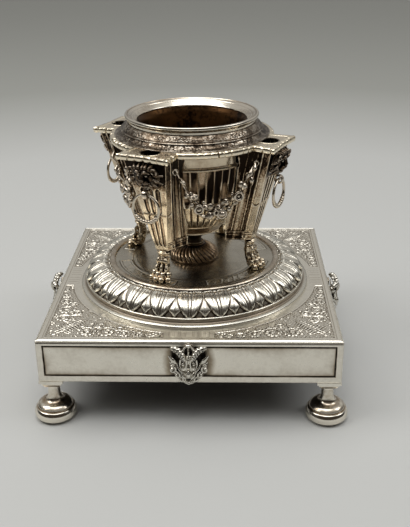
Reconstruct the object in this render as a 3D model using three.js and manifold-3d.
// A square silver inkstand: a plinth with a drawer on four turned feet, and on it a fluted ink urn
// between four lion legs. Millimetres, +Z up, front towards -Y, origin on the table under the centre.
import * as THREE from "three";
import { mergeVertices } from "three/addons/utils/BufferGeometryUtils.js";
import Module from "manifold-3d";

// Driving dimensions of the plinth
const PLINTH_WIDTH = 130;
const PLINTH_TOP = 40.4;
const PLINTH_BOTTOM = 20.2;
const SHEET = 1.2; // gauge of the sheet silver
const WALL = 1.6; // side walls, thick enough for the let-in panels
const PANEL_HALF_WIDTH = 62.1; // the framed window in each side
const PANEL_LOW = 23.3;
const PANEL_HIGH = 37.7;
const PANEL_DEPTH = 0.8;
const FOOT_OFFSET = 59.9; // foot centre from the middle of the plinth, along X and along Y

// Driving dimensions of the raised centre
const STEP_RADIUS = 55;
const LEAF_RADIUS = 52.2;
const BEZEL_RADIUS = 39.4;
const BEZEL_TOP = 52.9;
const DISC_TOP = 51.8;
const DISC_SHEET = 1.4;
const DISC_RADIUS = 40.4;

// Driving dimensions of the urn and its stand
const STAND_TURN = 20; // degrees between the legs and the plinth's diagonals
const LEG_BOTTOM = 66;
const LEG_TOP = 110.9;
const LEG_FACE_LOW = 31; // front face of a leg from the axis, at its bottom
const LEG_LEAN = 0.27; // millimetres outwards for each millimetre up
const LEG_HALF_LOW = 2.8; // half the width of the front face at its bottom
const LEG_HALF_HIGH = 10.2;
const LEG_BACK_LOW = 7; // the sides spread towards the bowl
const LEG_BACK_HIGH = 12.3;
const LEG_BACK_REACH = 20.2;
const LEG_WALL = 1;
const LEG_FLUTE_DEPTH = 0.4;
const GALLERY_TOP = 113;
const GALLERY_SHEET = 2;
const GALLERY_RADIUS = 37;
const EAR_REACH = 45.2;
const EAR_HALF = 12.2;
const LOBE_DENT = 0.7; // how deep the edge of the gallery is notched between its lobes
const QUILL_HOLE_RADIUS = 4.2;
const QUILL_HOLE_REACH = 38;
const COLLAR_TOP = 118.7;
const RIM_RADIUS = 30.4;
const RIM_TOP = 122.2;
const MOUTH_RADIUS = 24.8;
const RING_RADIUS = 6.2; // middle of the wire
const RING_WIRE = 0.75;
const RING_PIVOT_REACH = 43;
const RING_PIVOT_HEIGHT = 96.2;
const STUD_RADIUS = 2;

const FIT = 0.1; // air between pieces that touch across a turned face
const CORNERS = [
  ["front_left", -1, -1],
  ["front_right", 1, -1],
  ["back_right", 1, 1],
  ["back_left", -1, 1],
];

const wasm = await Module();
wasm.setup();

// Materials of the pieces

function metal(color, roughness) {
  return new THREE.MeshStandardMaterial({ color, roughness, metalness: 1 });
}

const satinSilver = metal(0xb8b4a8, 0.38);
const brightSilver = metal(0xd0ccc0, 0.25);
const darkSilver = metal(0x77736a, 0.4);
const warmSilver = metal(0xa8987a, 0.32);
const giltWash = metal(0x9a6a34, 0.4);
const steel = metal(0x8a8a88, 0.35);

// Closed solids

function signedVolume(geometry) {
  const position = geometry.attributes.position;
  const index = geometry.index;
  const [a, b, c] = [new THREE.Vector3(), new THREE.Vector3(), new THREE.Vector3()];
  let sixfold = 0;
  for (let i = 0; i < index.count; i += 3) {
    a.fromBufferAttribute(position, index.getX(i));
    b.fromBufferAttribute(position, index.getX(i + 1));
    c.fromBufferAttribute(position, index.getX(i + 2));
    sixfold += a.dot(b.cross(c));
  }
  return sixfold / 6;
}

// The geometry with shared vertices and every face turned outwards.
function closed(geometry) {
  const bare = geometry.clone();
  bare.deleteAttribute("normal");
  bare.deleteAttribute("uv");
  const merged = mergeVertices(bare, 1e-4);
  if (signedVolume(merged) < 0) {
    const order = merged.index.array;
    for (let i = 0; i < order.length; i += 3) {
      [order[i + 1], order[i + 2]] = [order[i + 2], order[i + 1]];
    }
  }
  return merged;
}

function toSolid(geometry) {
  const made = closed(geometry);
  const vertProperties = new Float32Array(made.attributes.position.array);
  const triVerts = new Uint32Array(made.index.array);
  return new wasm.Manifold(new wasm.Mesh({ numProp: 3, vertProperties, triVerts }));
}

function toGeometry(solid) {
  const made = solid.getMesh();
  const geometry = new THREE.BufferGeometry();
  geometry.setAttribute("position", new THREE.BufferAttribute(made.vertProperties, 3));
  geometry.setIndex(new THREE.BufferAttribute(made.triVerts, 1));
  geometry.computeVertexNormals();
  return geometry;
}

function joined(geometries) {
  return geometries.map(toSolid).reduce((whole, piece) => whole.add(piece));
}

function cut(solid, geometries) {
  return geometries.map(toSolid).reduce((whole, piece) => whole.subtract(piece), solid);
}

// A solid of revolution about Z from [radius, height] points, closed on itself or on the axis.
function turned(points, sides) {
  const onAxis = points[0][0] === 0 && points.at(-1)[0] === 0;
  const profile = onAxis ? points : [...points, points[0]];
  const vectors = profile.map(([radius, height]) => new THREE.Vector2(radius, height));
  return closed(new THREE.LatheGeometry(vectors, sides).rotateX(Math.PI / 2));
}

// A block between two corners.
function block(low, high) {
  const size = high.map((value, axis) => value - low[axis]);
  const middle = high.map((value, axis) => (value + low[axis]) / 2);
  return new THREE.BoxGeometry(...size).translate(...middle);
}

// A skin over sections of equal point counts, with flat ends, or joined end to end.
function loft(sections, endless = false) {
  const count = sections[0].length;
  const vertices = sections.flat();
  const faces = [];
  const last = endless ? sections.length : sections.length - 1;
  for (let row = 0; row < last; row += 1) {
    const next = (row + 1) % sections.length;
    for (let k = 0; k < count; k += 1) {
      const side = (k + 1) % count;
      const [a, b] = [row * count + k, row * count + side];
      const [c, d] = [next * count + side, next * count + k];
      faces.push(a, b, c, a, c, d);
    }
  }
  if (!endless) {
    for (const [row, flip] of [[0, true], [sections.length - 1, false]]) {
      const middle = new THREE.Vector3();
      sections[row].forEach((point) => middle.add(point));
      vertices.push(middle.divideScalar(count));
      for (let k = 0; k < count; k += 1) {
        const [a, b] = [row * count + k, row * count + ((k + 1) % count)];
        faces.push(...(flip ? [vertices.length - 1, b, a] : [vertices.length - 1, a, b]));
      }
    }
  }
  const geometry = new THREE.BufferGeometry().setFromPoints(vertices);
  geometry.setIndex(faces);
  return closed(geometry);
}

// Points of an ellipse about a centre, spanned by two half axes.
function ellipse(centre, across, up, sides) {
  return Array.from({ length: sides }, (_, k) => {
    const turn = (2 * Math.PI * k) / sides;
    return centre.clone().addScaledVector(across, Math.cos(turn)).addScaledVector(up, Math.sin(turn));
  });
}

// A ball squashed to three half sizes.
function pebble(centre, halves, around = 8, down = 5) {
  return new THREE.SphereGeometry(1, around, down).scale(...halves).translate(...centre);
}

// A flat outline raised to a thickness, its underside at the given height.
function plate(shape, low, thickness, bevel = 0, curveSegments = 12) {
  const settings = {
    depth: thickness - 2 * bevel,
    bevelEnabled: bevel > 0,
    bevelThickness: bevel,
    bevelSize: bevel,
    bevelOffset: -bevel,
    bevelSegments: 1,
    curveSegments,
  };
  return closed(new THREE.ExtrudeGeometry(shape, settings).translate(0, 0, low + bevel));
}

function circlePath(x, y, radius, sides) {
  const points = Array.from({ length: sides }, (_, k) => {
    const turn = (-2 * Math.PI * k) / sides;
    return new THREE.Vector2(x + radius * Math.cos(turn), y + radius * Math.sin(turn));
  });
  return new THREE.Path(points);
}

function named(name, shape, material, place = [0, 0, 0], turn = 0) {
  const geometry = shape.isBufferGeometry ? shape : toGeometry(shape);
  const mesh = new THREE.Mesh(geometry, material);
  mesh.name = name;
  mesh.position.set(...place);
  mesh.rotation.z = turn;
  return mesh;
}

// The plinth: a sheet box with a framed window in each side

function plinthTop() {
  const half = PLINTH_WIDTH / 2;
  const corner = 1;
  const shape = new THREE.Shape();
  shape.moveTo(half - corner, -half);
  shape.absarc(half - corner, -half + corner, corner, -Math.PI / 2, 0);
  shape.absarc(half - corner, half - corner, corner, 0, Math.PI / 2);
  shape.absarc(-half + corner, half - corner, corner, Math.PI / 2, Math.PI);
  shape.absarc(-half + corner, -half + corner, corner, Math.PI, 1.5 * Math.PI);
  shape.holes.push(circlePath(0, 0, STEP_RADIUS - 7, 28));
  return plate(shape, PLINTH_TOP - SHEET, SHEET, 0.3, 2);
}

function plinthFrame() {
  const half = PLINTH_WIDTH / 2;
  const top = PLINTH_TOP - SHEET;
  const inside = half - WALL;
  const shell = toSolid(block([-half, -half, PLINTH_BOTTOM], [half, half, top]));
  const hollow = block([-inside, -inside, PLINTH_BOTTOM - 1], [inside, inside, top + 1]);
  const window = [-PANEL_HALF_WIDTH, PANEL_LOW];
  const far = [PANEL_HALF_WIDTH, PANEL_HIGH];
  const doorway = block([window[0], -half - 1, window[1]], [far[0], -inside + 1, far[1]]);
  const recess = block([window[0], half - PANEL_DEPTH, window[1]], [far[0], half + 1, far[1]]);
  const recesses = [0, 90, -90].map((turn) => recess.clone().rotateZ(THREE.MathUtils.degToRad(turn)));
  return cut(shell, [hollow, doorway, ...recesses]);
}

function plinthFloor() {
  const inside = PLINTH_WIDTH / 2 - WALL;
  const sheet = toSolid(block([-inside, -inside, PLINTH_BOTTOM], [inside, inside, PLINTH_BOTTOM + SHEET]));
  const holes = CORNERS.map(([, x, y]) =>
    turned([[0, PLINTH_BOTTOM - 1], [1.6, PLINTH_BOTTOM - 1], [1.6, 23], [0, 23]], 10)
      .translate(x * FOOT_OFFSET, y * FOOT_OFFSET, 0));
  return cut(sheet, holes);
}

function sidePanel() {
  const half = PLINTH_WIDTH / 2;
  const gap = 0.3;
  const low = [-PANEL_HALF_WIDTH + gap, half - PANEL_DEPTH, PANEL_LOW + gap];
  return block(low, [PANEL_HALF_WIDTH - gap, half, PANEL_HIGH - gap]);
}

// The drawer behind the front window
const DRAWER_GAP = 0.4;
const DRAWER_BACK = 50;
const DRAWER_LOW = PANEL_LOW + DRAWER_GAP;
const TRAY_HALF = 60.4;
const TRAY_TOP = 35.4;

function drawerFront() {
  const front = -PLINTH_WIDTH / 2;
  const side = PANEL_HALF_WIDTH - DRAWER_GAP;
  return block([-side, front, DRAWER_LOW], [side, front + SHEET, PANEL_HIGH - DRAWER_GAP]);
}

function drawerTray() {
  const front = -PLINTH_WIDTH / 2 + SHEET;
  const wall = 1;
  const outside = toSolid(block([-TRAY_HALF, front, DRAWER_LOW], [TRAY_HALF, DRAWER_BACK, TRAY_TOP]));
  const low = [-TRAY_HALF + wall, front + wall, DRAWER_LOW + wall];
  return cut(outside, [block(low, [TRAY_HALF - wall, DRAWER_BACK - wall, TRAY_TOP + 1])]);
}

function drawerRunner(side) {
  const floor = PLINTH_BOTTOM + SHEET;
  const [inner, outer] = [57, 61.6];
  return block(
    [side < 0 ? -outer : inner, -54, floor],
    [side < 0 ? -inner : outer, 54, DRAWER_LOW - FIT],
  );
}

// The horned mask in the middle of each side, modelled on the front side, facing -Y
const HORNED_MASK_DEPTH = 8.4;

function hornedMask() {
  const back = -PLINTH_WIDTH / 2 - FIT;
  const middle = (PLINTH_TOP + PLINTH_BOTTOM) / 2;
  const sides = 14;
  // depth, half width, half height and how far the section drops below the middle
  const sections = [
    [0, 8.2, 9.4, 0],
    [2.6, 8.4, 9.6, 0],
    [5, 6.6, 7.8, -0.2],
    [7.2, 4.2, 4.6, -0.8],
    [HORNED_MASK_DEPTH, 2, 2.2, -1.2],
  ];
  const head = loft(sections.map(([depth, halfWidth, halfHeight, drop]) =>
    Array.from({ length: sides }, (_, k) => {
      const turn = (2 * Math.PI * (k + 0.5)) / sides;
      const chin = Math.sin(turn) < 0 ? 1 - 0.32 * Math.sin(turn) ** 2 : 1;
      const x = halfWidth * chin * Math.cos(turn);
      return new THREE.Vector3(x, back - depth, middle - drop + halfHeight * Math.sin(turn));
    })));
  const horns = [-1, 1].map((side) => {
    const spine = new THREE.CatmullRomCurve3([
      new THREE.Vector3(side * 1.6, back - 6.4, middle + 1),
      new THREE.Vector3(side * 3, back - 6.2, middle + 4.4),
      new THREE.Vector3(side * 5.2, back - 4.4, middle + 7.6),
      new THREE.Vector3(side * 7.8, back - 2.4, middle + 9),
    ]);
    const rows = 5;
    return loft(Array.from({ length: rows }, (_, row) => {
      const along = row / (rows - 1);
      const radius = 1.5 - 0.7 * along;
      const across = new THREE.Vector3(0.8, 0, side * -0.6).multiplyScalar(radius);
      return ellipse(spine.getPoint(along), across, new THREE.Vector3(0, radius, 0), 6);
    }));
  });
  return joined([head, ...horns]);
}

// Turned foot, the stepped block it hangs from, and the nut on its screw

function foot() {
  const shoulder = 16.2;
  const screw = 1.4;
  return turned([
    [0, 0], [6.4, 0], [8.6, 1], [9.3, 3], [8.8, 5], [7.7, 6], [7.9, 6.5], [6, 8],
    [3.6, 9.3], [2.7, 11.2], [2.7, shoulder],
    [screw, shoulder], [screw, PLINTH_BOTTOM + SHEET + 1.6], [0, PLINTH_BOTTOM + SHEET + 1.6],
  ], 16);
}

function square(half, height) {
  return [[-half, -half], [half, -half], [half, half], [-half, half]]
    .map(([x, y]) => new THREE.Vector3(x, y, height));
}

function footBlock() {
  const [stepOne, stepTwo, neck] = [PLINTH_BOTTOM - 1.2, PLINTH_BOTTOM - 2.4, 16.2];
  const body = loft([
    square(3, neck), square(4.1, stepTwo), square(4.3, stepTwo), square(4.3, stepOne),
    square(5.2, stepOne), square(5.2, PLINTH_BOTTOM),
  ]);
  const bore = turned([[0, neck - 1], [1.6, neck - 1], [1.6, 22], [0, 22]], 10);
  return cut(toSolid(body), [bore]);
}

function hexNut(radius, bore, low, high) {
  const shape = new THREE.Shape(
    Array.from({ length: 6 }, (_, k) =>
      new THREE.Vector2(radius * Math.cos((k * Math.PI) / 3), radius * Math.sin((k * Math.PI) / 3))),
  );
  shape.holes.push(circlePath(0, 0, bore, 12));
  return plate(shape, low, high - low);
}

// The raised centre: leaf border, bezel and the disc that the stand rests on

// Radius, height and how far the skin sinks between two leaves, once round the border's section:
// the step and cove, the leaves from their tips up to the flat top, and the plain inner side
const LEAVES = 24;
const LEAF_BORDER = [
  [STEP_RADIUS, PLINTH_TOP, 0], [STEP_RADIUS, PLINTH_TOP + 0.8, 0], [53.6, 41.9, 0], [52.7, 43.4, 0],
  [LEAF_RADIUS, 44.4, 0.9], [50.4, 47.4, 0.8], [47.4, 49.8, 0.5], [44.2, 51.1, 0.1], [40.6, 51.5, 0],
  [40.6, 50.3, 0], [46.6, 48.6, 0], [49.8, 45.6, 0], [51.8, PLINTH_TOP, 0],
];

// Each leaf has a midrib and two edges; the fourth step round is the gap to the next leaf.
function leafBorder() {
  const steps = 4 * LEAVES;
  return loft(LEAF_BORDER.map(([radius, height, sink]) =>
    Array.from({ length: steps }, (_, k) => {
      const turn = (2 * Math.PI * k) / steps;
      const reach = radius - [0, 0.25, 1, 0.25][k % 4] * sink;
      return new THREE.Vector3(reach * Math.cos(turn), reach * Math.sin(turn), height);
    })), true);
}

function bezel() {
  const low = DISC_TOP + FIT;
  return turned([
    [37.9, low], [38.5, 52.7], [BEZEL_RADIUS, BEZEL_TOP], [40.2, 52.7], [41, low],
  ], 40);
}

function centreDisc() {
  const bore = STUD_RADIUS + 0.2;
  const low = DISC_TOP - DISC_SHEET;
  return turned([
    [bore, low], [DISC_RADIUS, low], [DISC_RADIUS, DISC_TOP], [bore, DISC_TOP],
  ], 40);
}

// The urn: gadrooned foot, neck, fluted bowl, gallery, collar

const STUD_BORE = STUD_RADIUS + 0.15;
const FOOT_TOP = 59.6;
const NECK_TOP = 66.6;

function vaseFoot() {
  const low = DISC_TOP + FIT;
  return turned([
    [STUD_BORE, low], [11.4, low], [11.9, 52.6], [11.4, 53.5], [9.6, 55.2], [7, 57.2],
    [4.6, FOOT_TOP], [STUD_BORE, FOOT_TOP],
  ], 20);
}

function vaseNeck() {
  return turned([
    [STUD_BORE, FOOT_TOP], [4, FOOT_TOP], [3.6, 61], [4.2, 62.4], [6.8, 64], [9.8, NECK_TOP],
    [STUD_BORE, NECK_TOP],
  ], 20);
}

const FLUTES = 48;
const FLUTE_DEPTH = 0.5;
// height, radius and share of the flute depth that is cut there, up the outside of the bowl
const BOWL_OUTSIDE = [
  [NECK_TOP, 12, 0], [71.7, 17, 0], [72.8, 18.2, 1], [77, 21.7, 1], [84, 25, 1],
  [102, 28.5, 1], [102.9, 29.4, 0], [103.6, 28.9, 0], [LEG_TOP, 28.9, 0],
];
const BOWL_INSIDE = [[LEG_TOP + 1, 27.2], [96, 26], [84, 23.4], [77, 19.6], [70, 13]];

function flutedBowl() {
  const sides = 2 * FLUTES;
  const outside = loft(BOWL_OUTSIDE.map(([height, radius, deep]) =>
    Array.from({ length: sides }, (_, k) => {
      const turn = (2 * Math.PI * k) / sides;
      const reach = radius - (k % 2 ? deep * FLUTE_DEPTH : 0);
      return new THREE.Vector3(reach * Math.cos(turn), reach * Math.sin(turn), height);
    })));
  const inside = BOWL_INSIDE.map(([height, radius]) => [radius, height]);
  const hollow = turned([[0, LEG_TOP + 1], ...inside, [0, 70]], 24);
  const bore = turned([[0, 60], [STUD_BORE, 60], [STUD_BORE, 75], [0, 75]], 12);
  return cut(toSolid(outside), [hollow, bore]);
}

// The space the bowl needs, a little larger than the bowl.
function bowlRoom() {
  const air = 0.35;
  const outside = BOWL_OUTSIDE.map(([height, radius]) => [radius + air, height]);
  return turned([[0, 60], [12 + air, 60], ...outside, [29.25, 120], [0, 120]], 36);
}

// Small lobes along one stretch of the plate's edge: a dent at each join and a full edge between.
function lobes(from, to, count) {
  const along = to.clone().sub(from);
  const inwards = new THREE.Vector2(-along.y, along.x).normalize();
  return Array.from({ length: count }, (_, k) => [
    from.clone().addScaledVector(along, k / count).addScaledVector(inwards, LOBE_DENT),
    from.clone().addScaledVector(along, (k + 0.3) / count),
    from.clone().addScaledVector(along, (k + 0.7) / count),
  ]).flat();
}

function galleryPlate() {
  const arcSteps = 12;
  const join = Math.asin((EAR_HALF - 1.2) / GALLERY_RADIUS);
  const outline = [];
  for (let ear = 0; ear < 4; ear += 1) {
    const turn = (ear * Math.PI) / 2;
    const at = (x, y) => new THREE.Vector2(x, y).rotateAround(new THREE.Vector2(), turn);
    const onArc = (angle) => at(GALLERY_RADIUS * Math.cos(angle), GALLERY_RADIUS * Math.sin(angle));
    const arc = Array.from({ length: arcSteps + 1 }, (_, k) =>
      onArc(join + ((Math.PI / 2 - 2 * join) * k) / arcSteps));
    const corners = [at(EAR_REACH, -EAR_HALF), at(EAR_REACH - 0.7, 0), at(EAR_REACH, EAR_HALF)];
    outline.push(...lobes(onArc(-join), corners[0], 3));
    outline.push(...lobes(corners[0], corners[1], 4), ...lobes(corners[1], corners[2], 4));
    outline.push(...lobes(corners[2], arc[0], 3));
    arc.slice(1).forEach((point, k) => outline.push(...lobes(arc[k], point, 1)));
  }
  const shape = new THREE.Shape(outline);
  shape.holes.push(circlePath(0, 0, 28, 32));
  for (let ear = 0; ear < 4; ear += 1) {
    const turn = (ear * Math.PI) / 2;
    const [x, y] = [QUILL_HOLE_REACH * Math.cos(turn), QUILL_HOLE_REACH * Math.sin(turn)];
    shape.holes.push(circlePath(x, y, QUILL_HOLE_RADIUS, 12));
  }
  return plate(shape, GALLERY_TOP - GALLERY_SHEET, GALLERY_SHEET);
}

function collar() {
  return turned([
    [28, GALLERY_TOP], [35.4, GALLERY_TOP], [34.6, 113.6], [32.4, 114.5], [31.7, 115.2],
    [32.2, 115.8], [31.5, 116.5], [30, 118.2], [29.4, COLLAR_TOP], [28, COLLAR_TOP],
  ], 36);
}

// The ink well: a silver rim with a gilt liner under it, lifted out together

function wellRim() {
  const low = COLLAR_TOP + FIT;
  return turned([
    [29, low], [29, 120.2], [30.1, 120.6], [RIM_RADIUS, 121.4], [29.9, 122.1], [29.2, RIM_TOP],
    [28.4, 121.8], [25.3, 120.2], [MOUTH_RADIUS, 119.7], [MOUTH_RADIUS, low],
  ], 36);
}

function wellLiner() {
  const top = COLLAR_TOP + FIT;
  const floor = 78;
  return turned([
    [0, floor], [17.6, floor], [24.6, 116.4], [27.6, 117.4], [27.6, top],
    [24.9, top], [23.8, 116.6], [16.6, floor + 1], [0, floor + 1],
  ], 28);
}

// One leg of the stand, in the leg's own frame: +X outwards, Y across, Z up

function legFace(height) {
  return LEG_FACE_LOW + LEG_LEAN * (height - LEG_BOTTOM);
}

// The leg's section at a height: narrow in front, wider at the bowl, all walls moved in by a gauge.
function legSection(height, gauge) {
  const share = (height - LEG_BOTTOM) / (LEG_TOP - LEG_BOTTOM);
  const front = THREE.MathUtils.lerp(LEG_HALF_LOW, LEG_HALF_HIGH, share) - gauge;
  const back = THREE.MathUtils.lerp(LEG_BACK_LOW, LEG_BACK_HIGH, share) - gauge;
  const face = legFace(height) - gauge;
  return [[LEG_BACK_REACH, -back], [face, -front], [face, front], [LEG_BACK_REACH, back]]
    .map(([x, y]) => new THREE.Vector3(x, y, height));
}

// The outer section, with three flutes in the front: places across it as shares of its half width.
function flutedSection(height) {
  const [backLeft, frontLeft, frontRight, backRight] = legSection(height, 0);
  const flutes = [-0.6, 0, 0.6].flatMap((middle) => [[middle - 0.24, 0], [middle, 1], [middle + 0.24, 0]]);
  const front = flutes.map(([share, deep]) =>
    new THREE.Vector3(frontRight.x - deep * LEG_FLUTE_DEPTH, frontRight.y * share, height));
  return [backLeft, frontLeft, ...front, frontRight, backRight];
}

function leg() {
  const outside = loft([flutedSection(LEG_BOTTOM), flutedSection(LEG_TOP)]);
  const opened = [legSection(LEG_BOTTOM + 1.6, LEG_WALL), legSection(LEG_TOP + 1, LEG_WALL)];
  opened.forEach((section) => [section[0], section[3]].forEach((point) => point.setX(10)));
  return cut(toSolid(outside), [loft(opened), bowlRoom()]);
}

function paw() {
  const low = DISC_TOP + FIT;
  const ankle = [
    [LEG_BOTTOM - FIT, 29.2, 2.6, 2.5], [64.2, 29.4, 2.9, 2.9], [61.8, 29, 2.1, 2.2],
    [58.4, 29.4, 2.4, 2.5], [55.6, 30.8, 3.2, 3.4], [low, 31, 3.4, 3.6],
  ].map(([height, reach, halfAcross, halfDeep]) =>
    ellipse(
      new THREE.Vector3(reach, 0, height),
      new THREE.Vector3(halfDeep, 0, 0),
      new THREE.Vector3(0, halfAcross, 0),
      8,
    ));
  const toes = [-3, -1, 1, 3].map((place) => {
    const reach = 35.3 - 0.25 * Math.abs(place);
    return pebble([reach, place * 1.15, low + 1.5], [2.6, 1.35, 2.3], 6, 4);
  });
  const pad = pebble([33, 0, low + 1.2], [3.4, 3.9, 3.2], 8, 4);
  const under = block([20, -10, low - 10], [45, 10, low]);
  return cut(joined([loft(ankle), pad, ...toes]), [under]);
}

// The lion's mask on the leg's face, with the knuckle under its jaw that holds the ring
const LION_LOW = 98.3;
const LION_HIGH = 110.6;
const LION_HALF = 7.6;

function lionMask() {
  const sides = 12;
  const middle = (LION_LOW + LION_HIGH) / 2;
  const half = (LION_HIGH - LION_LOW) / 2;
  // stand-off from the face, share of the width, share of the height, drop of the section
  const sections = [[FIT, 1, 1, 0], [2, 0.98, 0.98, 0], [3.7, 0.66, 0.72, 1], [5, 0.3, 0.4, 2.4]];
  const head = loft(sections.map(([out, wide, tall, drop]) =>
    Array.from({ length: sides }, (_, k) => {
      const turn = (2 * Math.PI * (k + 0.5)) / sides;
      const height = middle - drop + half * tall * Math.sin(turn);
      return new THREE.Vector3(legFace(height) + out, LION_HALF * wide * Math.cos(turn), height);
    })));
  const knuckle = new THREE.Shape();
  knuckle.absarc(RING_PIVOT_REACH, RING_PIVOT_HEIGHT, 2.2, Math.PI, 2.25 * Math.PI);
  knuckle.lineTo(RING_PIVOT_REACH + 0.6, LION_LOW + 2.6);
  knuckle.lineTo(RING_PIVOT_REACH - 2.2, LION_LOW + 2.6);
  knuckle.holes.push(circlePath(RING_PIVOT_REACH, RING_PIVOT_HEIGHT, 1.25, 10));
  const width = 2.6;
  const lug = new THREE.ExtrudeGeometry(knuckle, { depth: width, bevelEnabled: false, curveSegments: 6 });
  lug.translate(0, 0, -width / 2).rotateX(Math.PI / 2);
  return joined([head, lug]);
}

function pullRing() {
  const steps = 18;
  const sections = Array.from({ length: steps }, (_, k) => {
    const turn = (2 * Math.PI * k) / steps;
    const outwards = new THREE.Vector3(0, Math.sin(turn), Math.cos(turn));
    const low = Math.max(0, -Math.cos(turn) - 0.2) / 0.8;
    const wire = RING_WIRE + 0.3 * low;
    const centre = outwards.clone().multiplyScalar(RING_RADIUS);
    centre.add(new THREE.Vector3(RING_PIVOT_REACH, 0, RING_PIVOT_HEIGHT - RING_RADIUS));
    return ellipse(centre, outwards.multiplyScalar(wire), new THREE.Vector3(wire, 0, 0), 6);
  });
  return loft(sections, true);
}

// A garland from this leg's side to the next leg's, sagging between them and bowed in to the bowl
const SWAG_REACH = 36.8;
const SWAG_SIDE = 11.1;
const SWAG_HIGH = 107;
const SWAG_SAG = 21.8;
const SWAG_BOW = 4.4;

function swag() {
  const start = new THREE.Vector3(SWAG_REACH, SWAG_SIDE, SWAG_HIGH);
  const end = new THREE.Vector3(SWAG_SIDE, SWAG_REACH, SWAG_HIGH);
  const inwards = new THREE.Vector3(-Math.SQRT1_2, -Math.SQRT1_2, 0);
  const rows = 14;
  return loft(Array.from({ length: rows }, (_, row) => {
    const along = row / (rows - 1);
    const hang = 1 - (2 * along - 1) ** 2;
    const radius = 0.5 + 2 * Math.sin(Math.PI * along) ** 1.5;
    const centre = start.clone().lerp(end, along).addScaledVector(inwards, SWAG_BOW * hang);
    centre.z -= SWAG_SAG * hang;
    const forward = end.clone().sub(start).setZ(-4 * SWAG_SAG * (1 - 2 * along)).normalize();
    const upwards = inwards.clone().cross(forward).multiplyScalar(radius);
    return ellipse(centre, inwards.clone().multiplyScalar(radius), upwards, 6);
  }));
}

// The screw through the middle of the stand, with its washer and nut inside the plinth

function centreStud() {
  const head = 70 + FIT;
  return turned([
    [0, 45.4], [STUD_RADIUS, 45.4], [STUD_RADIUS, head], [4.4, head], [4.4, head + 1.4],
    [3.6, head + 2.2], [0, head + 2.2],
  ], 12);
}

function centreWasher() {
  const high = DISC_TOP - DISC_SHEET - FIT;
  return turned([[STUD_BORE, high - 1], [7, high - 1], [7, high], [STUD_BORE, high]], 16);
}

// The whole inkstand

const inkstand = new THREE.Group();

const plinth = new THREE.Group();
plinth.add(
  named("plinth_top", plinthTop(), satinSilver),
  named("plinth_frame", plinthFrame(), satinSilver),
  named("plinth_floor", plinthFloor(), darkSilver),
  named("drawer_front", drawerFront(), satinSilver),
  named("drawer_tray", drawerTray(), darkSilver),
  named("drawer_runner_left", drawerRunner(-1), darkSilver),
  named("drawer_runner_right", drawerRunner(1), darkSilver),
  named("leaf_border", leafBorder(), brightSilver),
  named("bezel", bezel(), brightSilver),
  named("centre_disc", centreDisc(), darkSilver),
);
for (const [side, turn] of [["back", 0], ["left", 90], ["right", -90]]) {
  const angle = THREE.MathUtils.degToRad(turn);
  plinth.add(named(`panel_${side}`, sidePanel(), satinSilver, [0, 0, 0], angle));
}
for (const [side, turn] of [["front", 0], ["right", 90], ["back", 180], ["left", -90]]) {
  const angle = THREE.MathUtils.degToRad(turn);
  plinth.add(named(`horned_mask_${side}`, hornedMask(), brightSilver, [0, 0, 0], angle));
}
for (const [corner, x, y] of CORNERS) {
  const place = [x * FOOT_OFFSET, y * FOOT_OFFSET, 0];
  const floor = PLINTH_BOTTOM + SHEET;
  plinth.add(
    named(`foot_${corner}`, foot(), warmSilver, place),
    named(`foot_block_${corner}`, footBlock(), satinSilver, place),
    named(`foot_nut_${corner}`, hexNut(2.6, 1.6, floor, floor + 1.5), steel, place),
  );
}

const urn = new THREE.Group();
urn.rotation.z = THREE.MathUtils.degToRad(STAND_TURN);
const nutHigh = DISC_TOP - DISC_SHEET - 2 * FIT - 1;
const diagonal = new THREE.Group();
diagonal.rotation.z = Math.PI / 4;
diagonal.add(named("gallery_plate", galleryPlate(), warmSilver));
urn.add(
  diagonal,
  named("vase_foot", vaseFoot(), warmSilver),
  named("vase_neck", vaseNeck(), darkSilver),
  named("fluted_bowl", flutedBowl(), warmSilver),
  named("collar", collar(), darkSilver),
  named("well_rim", wellRim(), brightSilver),
  named("well_liner", wellLiner(), giltWash),
  named("centre_stud", centreStud(), steel),
  named("centre_washer", centreWasher(), steel),
  named("centre_nut", hexNut(4.2, STUD_BORE, nutHigh - 3, nutHigh), steel),
);
for (const [corner, x, y] of CORNERS) {
  const quarter = new THREE.Group();
  quarter.rotation.z = Math.atan2(y, x);
  quarter.add(
    named(`leg_${corner}`, leg(), warmSilver),
    named(`paw_${corner}`, paw(), warmSilver),
    named(`lion_mask_${corner}`, lionMask(), darkSilver),
    named(`ring_${corner}`, pullRing(), brightSilver),
    named(`swag_${corner}`, swag(), darkSilver),
  );
  urn.add(quarter);
}

inkstand.add(plinth, urn);
export default inkstand;
